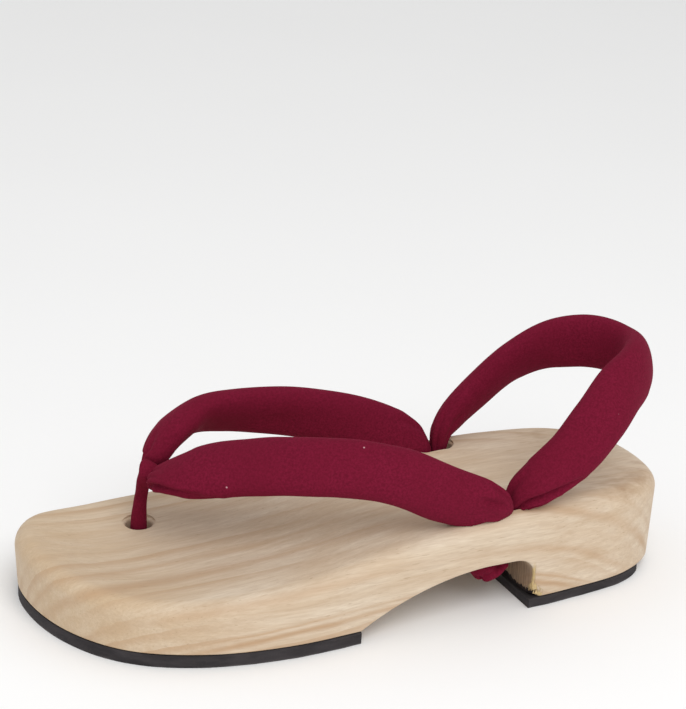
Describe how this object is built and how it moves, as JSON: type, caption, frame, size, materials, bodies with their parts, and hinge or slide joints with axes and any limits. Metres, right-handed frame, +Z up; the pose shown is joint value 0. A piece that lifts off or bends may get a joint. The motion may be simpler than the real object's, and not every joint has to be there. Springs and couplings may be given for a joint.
{
  "type": "geta sandal",
  "caption": "Left geta sandal: carved wooden sole arched underneath, rubber pads, padded cloth V strap with toe thong, and heel sling.",
  "frame": {"origin": "on the floor, under the middle of the whole shoe's box", "axes": "+X from heel to toe, +Y to the outer side of the foot, +Z up"},
  "size_m": [0.2502, 0.1054, 0.0934],
  "materials": {
    "wood": "satin, pale straight-grained wood",
    "rubber": "matt charcoal sheet rubber",
    "strap_cloth": "matt maroon finely woven cloth over padding"
  },
  "bodies": {
    "root": {"wooden_sole": "wood", "forefoot_rubber": "rubber", "heel_rubber": "rubber", "front_strap": "strap_cloth", "toe_thong": "strap_cloth", "heel_sling": "strap_cloth", "outer_strap_knot": "strap_cloth", "inner_strap_knot": "strap_cloth"}
  },
  "joints": []
}
